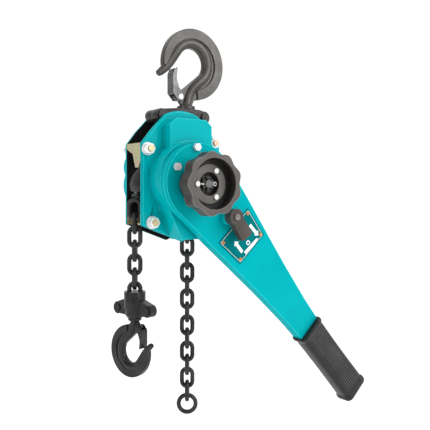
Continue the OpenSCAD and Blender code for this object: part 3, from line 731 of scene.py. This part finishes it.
def hook_web():
    """The thin web between the round body and the rib."""
    steps = 48
    outline = [polar(BACK_AT, BACK_R - 1, 170 - 258 * k / steps) for k in range(steps + 1)]
    outline += [
        (7.4, 0.2), (-7.4, 0.2), (-12.6, 6.2), (-18.6, 8.6), (-19.4, 11.5), (-18.2, 15.4),
        (-9.0, 20.6),
    ]
    outline += [polar(BOWL_AT, BOWL_R + 0.4, -46 + 196 * k / steps) for k in range(steps + 1)]
    n = len(outline)
    verts = [Vector((x, y, z)) for y in (-WEB_HALF, WEB_HALF) for x, z in outline]
    faces = [tuple(range(n)), tuple(range(2 * n - 1, n - 1, -1))]
    faces += [(k, (k + 1) % n, n + (k + 1) % n, n + k) for k in range(n)]
    return verts, faces


def turned(profile, steps=40):
    """Revolves (radius, z) points about the hook's own shank axis."""
    return loft([
        [Vector((r * math.cos(a), r * math.sin(a), z))
         for a in (2 * math.pi * k / steps for k in range(steps))]
        for r, z in profile
    ])


def cross_pin(profile, steps=28):
    """Revolves (radius, y) points about the latch's pivot."""
    return loft([
        [Vector((HOOK_PIVOT[0] + r * math.cos(a), y, HOOK_PIVOT[1] + r * math.sin(a)))
         for a in (2 * math.pi * k / steps for k in range(steps))]
        for r, y in profile
    ])


def rivet_and_spring():
    """Latch rivet with domed heads, and the spring's coils at each side."""
    parts = [cross_pin([
        (1.2, -8.9), (2.8, -8.7), (3.7, -8.2), (4.0, -7.7), (2.5, -7.6), (2.5, 7.6), (4.0, 7.7),
        (3.7, 8.2), (2.8, 8.7), (1.2, 8.9),
    ])]
    for side in (-1, 1):
        rows = []
        turns, steps = 2, 40
        for k in range(turns * steps + 1):
            a = 2 * math.pi * k / steps
            y = side * (3.9 + 1.2 * k / (turns * steps))
            out = Vector((math.cos(a), 0, math.sin(a)))
            centre = Vector((HOOK_PIVOT[0], y, HOOK_PIVOT[1])) + out * 3.6
            rows.append([
                centre + (out * math.cos(b) + Vector((0, 1, 0)) * math.sin(b)) * 0.6
                for b in (2 * math.pi * j / 8 for j in range(8))
            ])
        parts.append(loft(rows))
    return merge(parts)


COLLAR = [
    (7.8, 2.0), (8.6, 0.3), (11.6, 0.0), (12.4, -0.6), (12.5, -4.4), (11.9, -5.0), (7.9, -5.1),
    (7.9, -13.0), (11.4, -13.1), (12.0, -13.7), (12.0, -18.9), (11.4, -19.5),
]


TOP_HOOK = Vector(JOINTS["top_hook_swivel"]["pos_m"])
BOTTOM_HOOK = DRIVE + Vector((-46.8, 0, -176.3)) * MM
BOTTOM_SCALE = 0.7
# How far the hanging hook is turned about its own shank
BOTTOM_TURN = math.radians(105)


def top_place(p):
    """From the top hook's own frame, in mm, to the row frame."""
    return TOP_HOOK + Vector((p.x, p.y, p.z)) * MM


def bottom_place(p):
    """From the bottom hook's own frame, in mm, to the row frame."""
    c, s = math.cos(BOTTOM_TURN), math.sin(BOTTOM_TURN)
    turned_down = Vector((p.x * c + p.y * s, p.x * s - p.y * c, -p.z))
    return BOTTOM_HOOK + turned_down * MM * BOTTOM_SCALE


def make_hook(name, place, parts, slot, body, node):
    verts, faces = merge(parts)
    obj = add_mesh(name, [place(v) for v in verts], faces, slot, body, 24)
    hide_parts(node)


forging = [hook_body(), hook_flange(), hook_web(), turned(COLLAR)]
make_hook("top_hook_forging", top_place, forging, "hook_steel", "top_hook", "top_hook")
make_hook("top_latch_rivet", top_place, [rivet_and_spring()], "rivet_white", "top_hook",
          "latch_rivets_top")
make_hook("bottom_hook_forging", bottom_place, forging + [rivet_and_spring()], "charcoal_steel",
          "bottom_hook", "bottom_hook")


# ------------------------------------------------------- camera and lights

VIEW_TURN = math.radians(36)
CAMERA_AT = Vector((-0.5152, -0.7672, -0.1805))
camera_data = bpy.data.cameras.new("camera")
camera_data.lens = 56.13
camera_data.sensor_width = 36
camera_data.shift_y = -0.0465
camera_data.clip_start = 0.01
camera = bpy.data.objects.new("camera", camera_data)
camera.location = CAMERA_AT
camera.rotation_euler = (math.pi / 2, 0, -VIEW_TURN)
bpy.context.scene.collection.objects.link(camera)
bpy.context.scene.camera = camera


# The lamps look at the middle of the hoist
LIGHT_AIM = Vector((0.03, 0.0, -0.2))


def area_light(name, place, size, power):
    data = bpy.data.lights.new(name, "AREA")
    data.shape = "RECTANGLE"
    data.size, data.size_y = size
    data.energy = power
    obj = bpy.data.objects.new(name, data)
    obj.location = place
    toward = LIGHT_AIM - Vector(place)
    obj.rotation_euler = toward.to_track_quat("-Z", "Y").to_euler()
    bpy.context.scene.collection.objects.link(obj)


area_light("key", (0.75, -1.1, 0.45), (0.5, 0.7), 7)
area_light("left_strip", (-1.2, -0.35, 0.1), (0.035, 1.0), 3.6)
area_light("right_strip", (0.25, -1.4, 0.1), (0.035, 0.9), 3.2)
area_light("top_soft", (0.0, 0.1, 1.2), (0.9, 0.9), 4)

# Strength of the white surround, and of its darker side on the left
SURROUND = 1.06
SURROUND_LEFT = 0.45


def make_world():
    """White studio surround whose light falls off to the left of the hoist.

    Seen directly it is plain white all round."""
    world = bpy.data.worlds.new("studio")
    world.use_nodes = True
    tree = world.node_tree
    back = tree.nodes["Background"]
    back.inputs["Color"].default_value = (1, 1, 1, 1)
    way = tree.nodes.new("ShaderNodeTexCoord")
    split = tree.nodes.new("ShaderNodeSeparateXYZ")
    tree.links.new(way.outputs["Generated"], split.inputs["Vector"])
    fall = tree.nodes.new("ShaderNodeMapRange")
    fall.inputs["From Min"].default_value = -0.85
    fall.inputs["From Max"].default_value = -0.05
    fall.inputs["To Min"].default_value = SURROUND_LEFT
    fall.inputs["To Max"].default_value = SURROUND
    tree.links.new(split.outputs["X"], fall.inputs["Value"])
    ray = tree.nodes.new("ShaderNodeLightPath")
    seen = tree.nodes.new("ShaderNodeMix")
    seen.inputs[3].default_value = SURROUND
    tree.links.new(ray.outputs["Is Camera Ray"], seen.inputs[0])
    tree.links.new(fall.outputs["Result"], seen.inputs[2])
    tree.links.new(seen.outputs[0], back.inputs["Strength"])
    bpy.context.scene.world = world


make_world()
bpy.context.scene.view_settings.view_transform = "Standard"


FLOOR_R = 20.0
FLOOR_GAP = 0.03


def make_floor():
    """A wide, flat, pale floor a little below the hoist."""
    low = cad_box[0].z - FLOOR_GAP
    steps = 64
    verts = [(FLOOR_R * math.cos(a), FLOOR_R * math.sin(a), low)
             for a in (2 * math.pi * k / steps for k in range(steps))]
    mesh = bpy.data.meshes.new("floor")
    mesh.from_pydata(verts, [], [tuple(range(steps))])
    mat = bpy.data.materials.new("floor")
    mat.use_nodes = True
    shader = mat.node_tree.nodes["Principled BSDF"]
    shader.inputs["Base Color"].default_value = (0.95, 0.95, 0.95, 1)
    shader.inputs["Roughness"].default_value = 0.9
    shader.inputs["Emission Color"].default_value = (1, 1, 1, 1)
    shader.inputs["Emission Strength"].default_value = 0.13
    mesh.materials.append(mat)
    floor = bpy.data.objects.new("floor", mesh)
    bpy.context.scene.collection.objects.link(floor)


make_floor()
